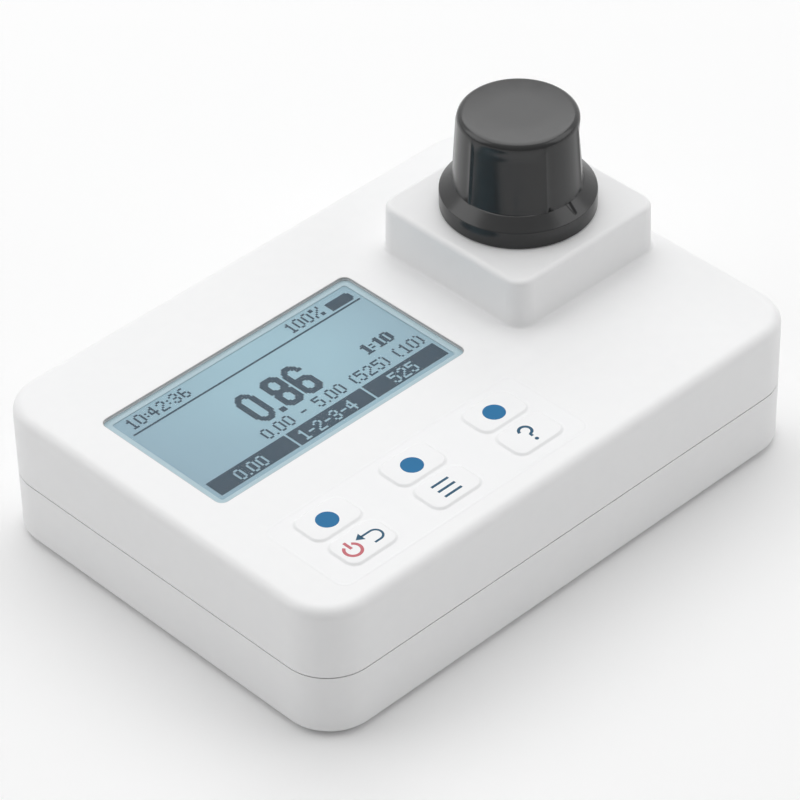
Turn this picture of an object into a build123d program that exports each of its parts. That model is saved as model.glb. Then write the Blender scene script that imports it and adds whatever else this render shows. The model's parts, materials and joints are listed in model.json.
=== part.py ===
from build123d import *
import os
from math import cos, hypot, radians, sin

# Portable colorimeter. Millimetres, +Z up, +X along the long side, the user sits at -Y.
# The origin is under the middle of the case, on the surface that the feet stand on.

# Case
case_length = 142.5
case_width = 102.5
case_height = 32.9
corner_radius = 11.2
top_edge_radius = 2.5
bottom_edge_radius = 1.0
wall = 2.5
foot_proud = 1.0
parting_height = 15.2
gasket_thickness = 0.3
gasket_inset = 0.3
rim_land = 1.2
tongue_clearance = 0.2
tongue_height = 1.4
rim_headroom = 0.3
rib_thickness = 1.2
rib_height = 2.4
rib_pitch = 22.0

# Raised housing over the cuvette well
block_side_margin = 4.15
block_length = 44.0
block_width = 44.2
block_height = 12.0
block_corner_radius = 4.5
block_inner_radius = 3.0
block_top_radius = 1.3
block_base_radius = 0.7
block_draft = 1.5
well_offset = 0.7

# Display
window_side_margin = 10.95
window_block_gap = 12.1
window_back_margin = 22.35
window_radius = 2.0
window_recess = 0.05
window_thickness = 0.8
window_gap = 0.12
window_seal_thickness = 0.15
window_ledge = 1.0
glass_clearance = 0.35
glass_to_window = 0.1
glass_thickness = 2.0
glass_radius = 0.4
backlight_thickness = 3.0
backlight_gap = 0.05
lcd_holder_wall = 1.8
lcd_holder_gap = 0.1
lcd_holder_radius = 1.2
lcd_pocket_clearance = 0.3
lcd_pocket_radius = 0.6
connector_thickness = 2.2
connector_end_gap = 4.0
connector_clearance = 0.2

# Keypad
keypad_front_margin = 5.75
keypad_window_gap = 12.0
keypad_offset = 0.15
overlay_overhang = 0.1
overlay_left_margin = 5.2
overlay_right_margin = 4.1
overlay_front_margin = 2.7
overlay_back_margin = 2.0
overlay_radius = 2.5
overlay_thickness = 0.4
overlay_gap = 0.1
key_width = 9.4
key_radius = 2.0
key_gap_x = 10.2
key_gap_y = 0.8
key_proud = 0.6
key_edge_radius = 0.5
key_clearance = 0.1
key_ear = 1.2
key_ear_thickness = 0.9
key_ear_gap = 0.2
key_ear_radius = 0.8
key_stem_radius = 2.0
key_travel = 0.5
key_overtravel_gap = 0.05
dome_radius = 3.6
dome_height = 0.4

# Main circuit board, hung under the top case
board_depth = 6.9
board_thickness = 1.6
board_end_gap = 5.25
board_side_gap = 4.85
board_well_gap = 9.1
board_corner_cut = 9.5
board_radius = 1.5
board_boss_radius = 2.8
board_boss_inset = 10.0
board_boss_back_inset = 7.9
board_boss_keypad_gap = 4.9
chip_size = 10.0
chip_thickness = 1.4
chip_radius = 0.5
chip_chamfer = 0.3
lead_count = 11
lead_pitch = 0.8
lead_width = 0.35
lead_reach = 1.0
lead_thickness = 0.2

# Screws: shank radius, head radius, head height
case_screw = (1.45, 2.8, 2.0)
board_screw = (1.2, 2.2, 1.5)
cover_screw = (1.2, 2.15, 1.2)
holder_screw = (1.45, 2.7, 1.9)
optics_screw = (0.8, 1.45, 1.0)
thread_clearance = 0.05
shank_clearance = 0.25
head_clearance = 0.25
head_rounding = 0.45
cross_slot_width = 0.7
cross_slot_share = 1.1
point_share = 0.4
tip_gap = 0.6

# Case screw posts
post_end_inset = 8.75
post_side_inset = 8.65
post_board_gap = 5.0
top_post_radius = 3.6
bottom_post_radius = 4.2
screw_seat_depth = 5.0
case_screw_grip = 7.8

# Rubber feet
foot_end_inset = 19.25
foot_side_inset = 7.0
foot_radius = 5.0
foot_recess = 1.2
foot_clearance = 0.1
foot_edge_radius = 0.5

# Battery compartment
cell_radius = 7.1
cell_body_length = 49.2
cell_button_length = 1.3
cell_button_radius = 2.75
cell_chamfer = 0.6
cell_pitch = 15.5
cell_count = 3
cell_side_gap = 0.9
cell_gap = 0.3
divider_thickness = 0.7
divider_above_axis = 2.0
spring_room = 7.0
spring_end_gap = 0.1
contact_thickness = 0.4
contact_width = 9.0
contact_height = 11.0
compartment_wall = 2.0
compartment_radius = 1.0
bucket_radius = 2.0
cover_margin = 5.0
cover_radius = 4.0
cover_thickness = 2.2
cover_gap = 0.15
cover_seal_thickness = 0.4
cover_seal_width = 1.6
cover_screw_inset = 3.0
cover_screw_sunk = 0.1
cover_screw_grip = 4.4
cover_boss_radius = 3.2
cover_boss_height = 5.5
ledge_thickness = 1.8
ledge_margin = 1.8
ledge_end_gap = 0.45
pull_length = 12.0
pull_width = 4.0
pull_depth = 0.7

# Cuvette, stopper and cap
cuvette_radius = 12.3
cuvette_wall = 1.25
cuvette_floor = 1.5
cuvette_foot_radius = 1.2
cuvette_proud = 3.3
shoulder_rise = 2.0
shoulder_wall_drop = 0.5
neck_radius = 10.0
neck_wall = 1.4
neck_height = 5.8
stopper_gap = 0.15
stopper_depth = 8.0
stopper_flange = 1.4
stopper_flange_radius = 9.8
stopper_knob_radius = 6.4
stopper_knob_height = 3.4
stopper_wall = 1.4
stopper_chamfer = 0.5
stopper_round = 0.6
cap_seat_gap = 0.2
cap_flange_radius = 17.4
cap_flange_height = 4.0
cap_flange_round = 0.25
cap_cone_height = 2.4
cap_base_radius = 14.4
cap_top_radius = 13.3
cap_height = 24.1
cap_rim_radius = 1.6
cap_wall = 1.8
cap_bore_gap = 0.3
cap_stem_radius = 5.0
cap_stem_gap = 0.1
cap_turn = -87.0
grip_count = 3
grip_angle = 72.0
grip_top_depth = 1.0
grip_foot_depth = 0.3
grip_top = 3.4
grip_corner_radius = 4.0
index_width = 1.5
index_end_width = 0.45
index_depth = 0.55
index_length = 3.1
index_start = 0.6

# Optical block with the cuvette well
well_clearance = 0.2
well_wall = 2.1
well_floor = 2.5
well_flange_margin = 4.4
well_flange_radius = 4.0
holder_post_height = 2.0
holder_post_inset = 4.2
holder_post_radius = 3.6
holder_pilot_floor = 1.0
hole_clearance = 0.6
seal_ring_thickness = 1.0
seal_ring_width = 2.3
beam_rise = 12.0
arm_width = 16.0
arm_radius = 1.0
light_passage_radius = 3.0
optic_radius = 4.5
optic_clearance = 0.1
optic_seat_gap = 2.4
lens_thickness = 3.0
lens_crown = 1.0
splitter_gap = 6.0
splitter_length = 8.5
splitter_thickness = 1.0
detector_height = 2.6
detector_radius = 0.5
source_gap = 12.0
led_radius = 2.5
led_flange_radius = 2.9
led_length = 7.0
led_flange = 1.0
led_nose_share = 0.95
filter_thickness = 4.0
filter_chamfer = 0.25
can_radius = 4.1
can_length = 5.6
can_flange = 0.8
can_round = 0.5
sensor_gap = 0.3
arm_screw_inset = 1.7
arm_screw_grip = 4.4

# How far a post or wall starts inside what carries it, and how far a cut runs past its face
root = 0.5
cut_over = 1.0

# Levels that follow from the sizes above
case_bottom = foot_proud
case_top = case_bottom + case_height
ceiling = case_top - wall
floor = case_bottom + wall
parting = case_bottom + parting_height
upper_rim = parting + gasket_thickness / 2
lower_rim = parting - gasket_thickness / 2
block_top = case_top + block_height
block_ceiling = block_top - wall
case_screw_seat = case_bottom + screw_seat_depth
case_screw_tip = parting + case_screw_grip
board_top = case_top - board_depth
board_bottom = board_top - board_thickness
window_top = case_top - window_recess
window_bottom = window_top - window_thickness
pocket_floor = window_bottom - window_seal_thickness
glass_top = window_bottom - glass_to_window
glass_bottom = glass_top - glass_thickness
backlight_top = glass_bottom - backlight_gap
backlight_bottom = backlight_top - backlight_thickness
key_top = case_top + key_proud
dome_top = board_top + dome_height
key_foot = dome_top + key_travel + key_overtravel_gap
seat_of_cover = case_bottom + cover_thickness + cover_seal_thickness
cover_screw_seat = case_bottom + cover_screw[2] + cover_screw_sunk
cell_axis = case_bottom + cover_thickness + cell_gap + cell_radius
compartment_top = cell_axis + cell_radius + cell_gap
well_bottom = floor + holder_post_height
cuvette_base = well_bottom + well_floor
beam_height = cuvette_base + beam_rise
cuvette_shoulder = block_top + cuvette_proud
neck_bottom = cuvette_shoulder + shoulder_rise
neck_top = neck_bottom + neck_height
stopper_top = neck_top + stopper_flange + stopper_knob_height
seal_ring_bottom = block_ceiling - seal_ring_thickness
cap_bottom = block_top + cap_seat_gap
cap_cone = cap_bottom + cap_flange_height
cap_base = cap_cone + cap_cone_height
cap_top = cap_bottom + cap_height

# Plan sizes and places that follow from the case and the margins
well_x = case_length / 2 - block_side_margin - block_length / 2
window_left = window_side_margin - case_length / 2
window_right = well_x - block_length / 2 - window_block_gap
window_length = window_right - window_left
display_x = (window_left + window_right) / 2
key_pitch_y = key_width + key_gap_y
overlay_width = key_pitch_y + key_width + overlay_front_margin + overlay_back_margin
overlay_front = keypad_front_margin - case_width / 2
overlay_back = overlay_front + overlay_width
window_front = overlay_back + keypad_window_gap
window_back = case_width / 2 - window_back_margin
window_width = window_back - window_front
display_y = (window_front + window_back) / 2
well_y = display_y - well_offset
pane_length = window_length - 2 * window_gap
pane_width = window_width - 2 * window_gap
pane_radius = window_radius - window_gap
aperture_length = window_length - 2 * window_ledge
aperture_width = window_width - 2 * window_ledge
glass_length = aperture_length - 2 * glass_clearance
glass_width = aperture_width - 2 * glass_clearance
backlight_width = glass_width - connector_thickness - connector_clearance
connector_length = glass_length - 2 * connector_end_gap
connector_y = display_y + (glass_width - connector_thickness) / 2
overlay_length = window_length + overlay_overhang
keypad_x = display_x + keypad_offset
keypad_y = (overlay_front + overlay_back) / 2
key_length = (overlay_length - overlay_left_margin - overlay_right_margin - 2 * key_gap_x) / 3
key_pitch_x = key_length + key_gap_x
key_centre_x = keypad_x + (overlay_left_margin - overlay_right_margin) / 2
key_centre_y = keypad_y + (overlay_front_margin - overlay_back_margin) / 2
well_radius = cuvette_radius + well_clearance
well_outer = well_radius + well_wall
well_flange = 2 * (well_outer + well_flange_margin)
board_left = board_end_gap - case_length / 2
board_right = well_x - well_flange / 2 - board_well_gap
board_half_width = case_width / 2 - board_side_gap
board_boss_back = board_half_width - board_boss_back_inset
board_boss_front = overlay_back + board_boss_keypad_gap
post_x = case_length / 2 - post_end_inset
post_mid_x = board_right + post_board_gap
post_y = case_width / 2 - post_side_inset
foot_x = case_length / 2 - foot_end_inset
foot_y = case_width / 2 - foot_side_inset
cell_length = cell_body_length + cell_button_length
compartment_length = cell_length + spring_room + contact_thickness + spring_end_gap
compartment_width = (cell_count - 1) * cell_pitch + 2 * (cell_radius + cell_side_gap)
cover_length = compartment_length + 2 * cover_margin
cover_width = compartment_width + 2 * cover_margin
battery_x = wall + ledge_end_gap + ledge_margin + cover_length / 2 - case_length / 2
optic_bore = optic_radius + optic_clearance
optic_seat = well_outer + optic_seat_gap
splitter_distance = optic_seat + lens_thickness + splitter_gap
source_reach = splitter_distance + source_gap
detector_reach = optic_seat + filter_thickness + sensor_gap + can_length
arm_screw_offset = arm_width / 2 - arm_screw_inset


def plate(length, width, radius, bottom, top, x=0.0, y=0.0):
    """Upright slab with rounded vertical corners."""
    return extrude(Pos(x, y, bottom) * RectangleRounded(length, width, radius), amount=top - bottom)


def rod(radius, bottom, top, x=0.0, y=0.0):
    """Upright cylinder between two levels."""
    return Pos(x, y, (bottom + top) / 2) * Cylinder(radius, top - bottom)


def turned(points, x=0.0, y=0.0):
    """Solid of revolution about an upright axis, from (radius, level) points."""
    return Pos(x, y, 0) * revolve(Plane.XZ * make_face(Polyline(*points, close=True)), Axis.Z)


def frame_ring(length, width, radius, border, bottom, top, x=0.0, y=0.0):
    """Flat rectangular ring, its border measured inwards."""
    outer = plate(length, width, radius, bottom, top, x, y)
    return outer - plate(length - 2 * border, width - 2 * border, radius - border, bottom, top, x, y)


def bar(length, width, bottom, top, x, y):
    """Square-edged upright block between two levels."""
    return Pos(x, y, (bottom + top) / 2) * Box(length, width, top - bottom)


def beamwise(solid, distance, side):
    """Place a piece built upright at z = 0 on the light axis, pointing away from the well."""
    return Pos(well_x, well_y + side * distance, beam_height) * Rot(-90 * side, 0, 0) * solid


def save(node, *solids):
    """Write one node, a single solid or a group of like ones."""
    shape = solids[0] if len(solids) == 1 else Compound(children=list(solids))
    export_step(shape, f"parts/{node}.step")


def post_places():
    """Plan positions of the six case screws."""
    return [(x, side * post_y) for x in (-post_x, post_mid_x, post_x) for side in (-1, 1)]


def foot_places():
    """Plan positions of the four feet."""
    return [(sx * foot_x, sy * foot_y) for sx in (-1, 1) for sy in (-1, 1)]


def board_places():
    """Plan positions of the four board screws."""
    xs = (board_left + board_boss_inset, board_right - board_boss_inset)
    return [(x, y) for x in xs for y in (board_boss_front, board_boss_back)]


def cover_places():
    """Plan positions of the four battery cover screws."""
    dx = cover_length / 2 - cover_screw_inset
    dy = cover_width / 2 - cover_screw_inset
    return [(battery_x + sx * dx, sy * dy) for sx in (-1, 1) for sy in (-1, 1)]


def holder_places():
    """Plan positions of the four screws of the optical block."""
    d = well_flange / 2 - holder_post_inset
    return [(well_x + sx * d, well_y + sy * d) for sx in (-1, 1) for sy in (-1, 1)]


def key_places():
    """Plan positions of the six keys, by row from the back and then from the left."""
    xs = [key_centre_x + column * key_pitch_x for column in (-1, 0, 1)]
    ys = [key_centre_y + row * key_pitch_y / 2 for row in (1, -1)]
    return [(x, y) for y in ys for x in xs]


def pan_screw(size, seat, length, x, y, upwards):
    """Pan head screw with a cross slot. The shank points up or down from the seat level."""
    shank_radius, head_radius, head_height = size
    head = rod(head_radius, -head_height, 0)
    head = fillet(head.edges().group_by(Axis.Z)[0], head_height * head_rounding)
    slot_length = head_radius * cross_slot_share
    slot = Box(slot_length, cross_slot_width, head_height) + Box(cross_slot_width, slot_length, head_height)
    shank = chamfer(rod(shank_radius, 0, length).edges().group_by(Axis.Z)[-1], shank_radius * point_share)
    screw = head - Pos(0, 0, -head_height) * slot + shank
    turn = Rot(0, 0, 0) if upwards else Rot(180, 0, 0)
    return Pos(x, y, seat) * turn * screw


def housing_block():
    """Square housing that stands on the case, with drafted sides and soft edges."""
    outline = RectangleRounded(block_length, block_width, block_corner_radius)
    base = Pos(well_x, well_y, case_top - wall / 2) * outline
    block = extrude(base, amount=wall / 2)
    tapered = extrude(Pos(0, 0, wall / 2) * base, amount=block_height, taper=block_draft)
    tapered = fillet(tapered.edges().group_by(Axis.Z)[-1], block_top_radius)
    return block + tapered


def top_case():
    """Upper shell with the housing block, the window pocket, the keypad pocket and the posts."""
    shell = plate(case_length, case_width, corner_radius, upper_rim, case_top)
    shell = fillet(shell.edges().group_by(Axis.Z)[-1], top_edge_radius)
    shell += housing_block()
    level = shell.edges().filter_by_position(Axis.Z, case_top, case_top)
    near_x = block_length / 2 + cut_over
    near_y = block_width / 2 + cut_over
    foot = [e for e in level if abs(e.center().X - well_x) < near_x and abs(e.center().Y - well_y) < near_y]
    shell = fillet(foot, block_base_radius)
    shell -= plate(case_length - 2 * wall, case_width - 2 * wall, corner_radius - wall, upper_rim, ceiling)
    inset = 2 * rim_land
    rebate_top = lower_rim + tongue_height + rim_headroom
    shell -= plate(case_length - inset, case_width - inset, corner_radius - rim_land, upper_rim, rebate_top)
    shell -= plate(block_length - 2 * wall, block_width - 2 * wall, block_inner_radius,
                   ceiling - cut_over, block_ceiling, well_x, well_y)
    for x, y in post_places():
        shell += rod(top_post_radius, parting, ceiling, x, y)
        shell -= rod(case_screw[0] + thread_clearance, parting, case_screw_tip + tip_gap, x, y)
    for x, y in board_places():
        shell += rod(board_boss_radius, board_top, ceiling, x, y)
        shell -= rod(board_screw[0] + thread_clearance, board_top, ceiling - root, x, y)
    shell -= rod(cuvette_radius + hole_clearance, block_ceiling, block_top, well_x, well_y)
    shell -= plate(window_length, window_width, window_radius, pocket_floor, case_top, display_x, display_y)
    shell -= plate(aperture_length, aperture_width, window_radius - window_ledge, ceiling, case_top,
                   display_x, display_y)
    shell -= plate(overlay_length, overlay_width, overlay_radius, case_top - overlay_thickness, case_top,
                   keypad_x, keypad_y)
    column_width = key_pitch_y + key_width + 2 * key_clearance
    for column in (-1, 0, 1):
        shell -= plate(key_length + 2 * key_clearance, column_width, key_radius, ceiling, case_top,
                       key_centre_x + column * key_pitch_x, key_centre_y)
    return shell


def bottom_case():
    """Lower shell with the battery compartment, the screw posts, the foot recesses and the rim tongue."""
    shell = plate(case_length, case_width, corner_radius, case_bottom, lower_rim)
    shell = fillet(shell.edges().group_by(Axis.Z)[0], bottom_edge_radius)
    shell -= plate(case_length - 2 * wall, case_width - 2 * wall, corner_radius - wall, floor, lower_rim)
    inset = rim_land + tongue_clearance
    shell += frame_ring(case_length - 2 * inset, case_width - 2 * inset, corner_radius - inset, wall - inset,
                        lower_rim - root, lower_rim + tongue_height)
    for x, y in post_places():
        shell += rod(bottom_post_radius, floor - root, parting, x, y)
        shell -= rod(case_screw[1] + head_clearance, case_bottom, case_screw_seat, x, y)
        shell -= rod(case_screw[0] + shank_clearance, case_screw_seat, parting, x, y)
    for x, y in holder_places():
        shell += rod(holder_post_radius, floor - root, well_bottom, x, y)
        shell -= rod(holder_screw[0] + thread_clearance, case_bottom + holder_pilot_floor, well_bottom, x, y)
    shell += battery_walls()
    for x, y, length in rib_places():
        shell += bar(rib_thickness, length, floor - root, floor + rib_height, x, y)
    for x, y in foot_places():
        shell -= rod(foot_radius + foot_clearance, case_bottom, case_bottom + foot_recess, x, y)
    shell -= plate(cover_length + 2 * cover_gap, cover_width + 2 * cover_gap, cover_radius + cover_gap,
                   case_bottom, seat_of_cover, battery_x)
    shell -= plate(compartment_length, compartment_width, compartment_radius, case_bottom, compartment_top,
                   battery_x)
    for i in range(1, cell_count):
        shell += bar(compartment_length + 2 * root, divider_thickness, cell_axis + divider_above_axis,
                     compartment_top + root, battery_x, (i - cell_count / 2) * cell_pitch)
    pilot_top = seat_of_cover + cover_screw_grip + tip_gap
    for x, y in cover_places():
        shell -= rod(cover_screw[0] + thread_clearance, seat_of_cover, pilot_top, x, y)
    return shell


def rib_places():
    """Middle and length of each rib from the battery ledge to the long sides of the case."""
    start = cover_width / 2 + ledge_margin - root
    end = case_width / 2 - wall + root
    middle = (start + end) / 2
    return [(battery_x + i * rib_pitch, side * middle, end - start) for i in (-1, 0, 1) for side in (-1, 1)]


def battery_walls():
    """Bucket around the cells, the thick ledge that takes the cover, and the cover's screw bosses."""
    outer = 2 * compartment_wall
    bucket = plate(compartment_length + outer, compartment_width + outer, bucket_radius, floor - root,
                   compartment_top + compartment_wall, battery_x)
    outer = 2 * ledge_margin
    bucket += plate(cover_length + outer, cover_width + outer, cover_radius + ledge_margin, floor - root,
                    seat_of_cover + ledge_thickness, battery_x)
    for x, y in cover_places():
        bucket += rod(cover_boss_radius, floor, seat_of_cover + cover_boss_height, x, y)
    return bucket


def case_gasket():
    """Flat seal between the two rims, seen from outside as the dark parting line."""
    inset = 2 * gasket_inset
    return frame_ring(case_length - inset, case_width - inset, corner_radius - gasket_inset,
                      rim_land - gasket_inset, lower_rim, upper_rim)


def case_screws():
    """Six screws from the underside into the top case."""
    length = case_screw_tip - case_screw_seat
    return [pan_screw(case_screw, case_screw_seat, length, x, y, True) for x, y in post_places()]


def rubber_feet():
    """Four round feet let into the underside."""
    foot = rod(foot_radius, 0, case_bottom + foot_recess)
    foot = fillet(foot.edges().group_by(Axis.Z)[0], foot_edge_radius)
    return [Pos(x, y, 0) * foot for x, y in foot_places()]


def display_window():
    """Clear pane let into the case, a little below its face."""
    return plate(pane_length, pane_width, pane_radius, window_bottom, window_top, display_x, display_y)


def window_seal():
    """Adhesive frame under the rim of the pane."""
    return frame_ring(pane_length, pane_width, pane_radius, window_ledge - window_gap, pocket_floor,
                      window_bottom, display_x, display_y)


def lcd_glass():
    """Liquid crystal panel, standing up into the window aperture."""
    return plate(glass_length, glass_width, glass_radius, glass_bottom, glass_top, display_x, display_y)


def backlight_panel():
    """Light guide under the panel, which leaves room for the contact strip along the back."""
    y = display_y - (glass_width - backlight_width) / 2
    return plate(glass_length, backlight_width, glass_radius, backlight_bottom, backlight_top, display_x, y)


def display_connector():
    """Striped rubber strip that joins the panel's back edge to the board."""
    return bar(connector_length, connector_thickness, board_top, glass_bottom, display_x, connector_y)


def lcd_holder():
    """Tray on the board that carries the backlight and the panel."""
    pocket_length = glass_length + 2 * lcd_pocket_clearance
    pocket_width = glass_width + 2 * lcd_pocket_clearance
    outer_length = pocket_length + 2 * lcd_holder_wall
    outer_width = pocket_width + 2 * lcd_holder_wall
    tray = plate(outer_length, outer_width, lcd_holder_radius, board_top, ceiling - lcd_holder_gap,
                 display_x, display_y)
    tray -= plate(pocket_length, pocket_width, lcd_pocket_radius, backlight_bottom, ceiling,
                  display_x, display_y)
    slot_length = connector_length + 2 * connector_clearance
    slot_width = connector_thickness + 2 * connector_clearance
    return tray - bar(slot_length, slot_width, board_top, backlight_bottom, display_x, connector_y)


def keypad_overlay():
    """Thin membrane around the keys, flush with the case."""
    inset = 2 * overlay_gap
    sheet = plate(overlay_length - inset, overlay_width - inset, overlay_radius - overlay_gap,
                  case_top - overlay_thickness, case_top, keypad_x, keypad_y)
    hole_radius = key_radius + key_clearance
    for x, y in key_places():
        sheet -= plate(key_length + 2 * key_clearance, key_width + 2 * key_clearance, hole_radius,
                       case_top - overlay_thickness, case_top, x, y)
    return sheet


def key():
    """Key cap with its two retaining ears and the stem that reaches the switch dome."""
    skirt = ceiling - key_ear_gap - key_ear_thickness
    cap = plate(key_length, key_width, key_radius, skirt, key_top)
    cap = fillet(cap.edges().group_by(Axis.Z)[-1], key_edge_radius)
    ear_width = key_width - 2 * key_radius
    cap += plate(key_length + 2 * key_ear, ear_width, key_ear_radius, skirt, skirt + key_ear_thickness)
    return cap + rod(key_stem_radius, key_foot, skirt)


def dome_switches():
    """Six metal snap domes on the board, one under each key."""
    sphere_radius = (dome_radius ** 2 + dome_height ** 2) / (2 * dome_height)
    ball = Pos(0, 0, dome_top - sphere_radius) * Sphere(sphere_radius)
    dome = ball & rod(dome_radius + root, board_top, dome_top + root)
    return [Pos(x, y, 0) * dome for x, y in key_places()]


def main_board():
    """Circuit board that carries the display, the switches and the processor."""
    length = board_right - board_left
    middle = (board_left + board_right) / 2
    board = plate(length, 2 * board_half_width, board_radius, board_bottom, board_top, middle)
    for side in (-1, 1):
        board -= plate(2 * board_corner_cut, 2 * board_corner_cut, board_radius, board_bottom, board_top,
                       board_left, side * board_half_width)
    for x, y in board_places():
        board -= rod(board_screw[0] + shank_clearance, board_bottom, board_top, x, y)
    return board


def board_screws():
    """Four screws that hold the board up to its bosses."""
    length = board_thickness + ceiling - board_top - tip_gap
    return [pan_screw(board_screw, board_bottom, length, x, y, True) for x, y in board_places()]


def microcontroller():
    """Square processor package under the board, with a row of leads on each side."""
    chip = plate(chip_size, chip_size, chip_radius, board_bottom - chip_thickness, board_bottom)
    chip = chamfer(chip.edges().group_by(Axis.Z)[0], chip_chamfer)
    span = chip_size + 2 * lead_reach
    for i in range(lead_count):
        offset = (i - (lead_count - 1) / 2) * lead_pitch
        chip += bar(span, lead_width, board_bottom - lead_thickness, board_bottom, 0, offset)
        chip += bar(lead_width, span, board_bottom - lead_thickness, board_bottom, offset, 0)
    return Pos(display_x, display_y, 0) * chip


def arm(reach):
    """Square arm on the light axis, from inside the well wall outwards."""
    start = well_radius + well_wall / 2
    section = RectangleRounded(arm_width, arm_width, arm_radius)
    return Pos(0, 0, start) * extrude(section, amount=reach - start)


def arm_screw_holes(reach):
    """Pilot holes for the two screws of the board on an arm's end."""
    depth = arm_screw_grip + tip_gap
    hole = rod(optics_screw[0] + thread_clearance, reach - depth, reach)
    return [Pos(s * arm_screw_offset, s * arm_screw_offset, 0) * hole for s in (-1, 1)]


def optical_block():
    """Dark moulding with the cuvette well, and the two arms that hold the light source and the detector."""
    tube = rod(well_outer, well_bottom, seal_ring_bottom, well_x, well_y)
    tube += plate(well_flange, well_flange, well_flange_radius, well_bottom, cuvette_base, well_x, well_y)
    tube += beamwise(arm(source_reach), 0, -1)
    tube += beamwise(arm(detector_reach), 0, 1)
    tube -= rod(well_radius, cuvette_base, seal_ring_bottom, well_x, well_y)
    pocket_end = splitter_distance + optic_bore
    for side, reach in ((-1, pocket_end), (1, detector_reach)):
        tube -= beamwise(rod(light_passage_radius, well_radius - cut_over, optic_seat), 0, side)
        tube -= beamwise(rod(optic_bore, optic_seat, reach), 0, side)
    tube -= beamwise(rod(led_flange_radius + optic_clearance, pocket_end - cut_over, source_reach), 0, -1)
    pocket = Box(2 * optic_bore, 2 * optic_bore, arm_width)
    tube -= Pos(well_x, well_y - splitter_distance, beam_height - optic_bore + arm_width / 2) * pocket
    for side, reach in ((-1, source_reach), (1, detector_reach)):
        for hole in arm_screw_holes(reach):
            tube -= beamwise(hole, 0, side)
    for x, y in holder_places():
        tube -= rod(holder_screw[0] + shank_clearance, well_bottom, cuvette_base, x, y)
    return tube


def holder_screws():
    """Four screws that hold the optical block down on its posts."""
    length = cuvette_base - case_bottom - holder_pilot_floor - tip_gap
    return [pan_screw(holder_screw, cuvette_base, length, x, y, False) for x, y in holder_places()]


def well_seal():
    """Ring that closes the gap between the well and the housing."""
    outer = rod(well_radius + seal_ring_width, seal_ring_bottom, block_ceiling, well_x, well_y)
    return outer - rod(well_radius, seal_ring_bottom, block_ceiling, well_x, well_y)


def collimating_lens():
    """Plano-convex lens against the seat in the source arm."""
    sphere_radius = (optic_radius ** 2 + lens_crown ** 2) / (2 * lens_crown)
    ball = Pos(0, 0, lens_thickness - sphere_radius) * Sphere(sphere_radius)
    lens = rod(optic_radius, 0, lens_thickness) & (ball + rod(optic_radius, 0, lens_thickness - lens_crown))
    return beamwise(lens, optic_seat, -1)


def beam_splitter():
    """Glass plate at 45 degrees that sends part of the light up to the reference detector."""
    glass = Box(2 * optic_radius, splitter_length, splitter_thickness)
    return Pos(well_x, well_y - splitter_distance, beam_height) * Rot(45, 0, 0) * glass


def reference_detector():
    """Photodiode package that closes the top of the splitter's pocket."""
    top = beam_height + arm_width / 2
    return plate(2 * optic_radius, 2 * optic_radius, detector_radius, top - detector_height, top,
                 well_x, well_y - splitter_distance)


def led():
    """Light emitting diode with its rounded nose towards the well."""
    nose = rod(led_radius, -led_length, 0)
    nose = fillet(nose.edges().group_by(Axis.Z)[0], led_radius * led_nose_share)
    return beamwise(nose + rod(led_flange_radius, -led_flange, 0), source_reach, -1)


def small_board(reach, side):
    """Little circuit board on the end of an arm."""
    board = extrude(RectangleRounded(arm_width, arm_width, arm_radius), amount=board_thickness)
    hole = rod(optics_screw[0] + thread_clearance, 0, board_thickness)
    for s in (-1, 1):
        board -= Pos(s * arm_screw_offset, s * arm_screw_offset, 0) * hole
    return beamwise(board, reach, side)


def optics_screws():
    """Two screws through each of the little boards."""
    length = board_thickness + arm_screw_grip
    screws = []
    for side, reach in ((-1, source_reach), (1, detector_reach)):
        for s in (-1, 1):
            screw = pan_screw(optics_screw, 0, length, s * arm_screw_offset, s * arm_screw_offset, False)
            screws.append(beamwise(screw, reach + board_thickness, side))
    return screws


def interference_filter():
    """Narrow band filter against the seat in the detector arm."""
    disc = rod(optic_radius, 0, filter_thickness)
    return beamwise(chamfer(disc.edges(), filter_chamfer), optic_seat, 1)


def sample_detector():
    """Photodiode in a round can on the detector board."""
    can = rod(can_radius, -can_length, 0)
    can = fillet(can.edges().group_by(Axis.Z)[0], can_round)
    return beamwise(can + rod(optic_radius, -can_flange, 0), detector_reach, 1)


def cell_places():
    """Row of each cell and the way that its button points, turn about."""
    middle = (cell_count - 1) / 2
    return [((i - middle) * cell_pitch, 1 if i % 2 == 0 else -1) for i in range(cell_count)]


def battery_cells():
    """Three AA cells side by side, turn about."""
    button = Pos(0, 0, cell_body_length) * rod(cell_button_radius, 0, cell_button_length)
    body = chamfer(rod(cell_radius, 0, cell_body_length).edges(), cell_chamfer)
    cells = []
    for y, way in cell_places():
        start = battery_x - way * (compartment_length / 2 - spring_room)
        cells.append(Pos(start, y, cell_axis) * Rot(0, 90 * way, 0) * (body + button))
    return cells


def battery_springs():
    """Bowed leaf spring behind each cell."""
    half = contact_height / 2
    reach = spring_room - spring_end_gap
    outer = ThreePointArc((0, -half), (reach, 0), (0, half))
    inner = ThreePointArc((0, half - contact_thickness), (reach - contact_thickness, 0),
                          (0, contact_thickness - half))
    ends = Line((0, half), (0, half - contact_thickness)) + Line((0, contact_thickness - half), (0, -half))
    leaf = make_face(outer + inner + ends)
    bow = extrude(Plane.XZ * leaf, amount=contact_width / 2, both=True)
    springs = []
    for y, way in cell_places():
        start = battery_x - way * compartment_length / 2
        springs.append(Pos(start, y, cell_axis) * Rot(0, 0, 0 if way > 0 else 180) * bow)
    return springs


def battery_contacts():
    """Flat plate that each cell's button presses on."""
    contacts = []
    for y, way in cell_places():
        x = battery_x + way * (compartment_length / 2 - contact_thickness / 2)
        contacts.append(Pos(x, y, cell_axis) * Box(contact_thickness, contact_width, contact_height))
    return contacts


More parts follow.
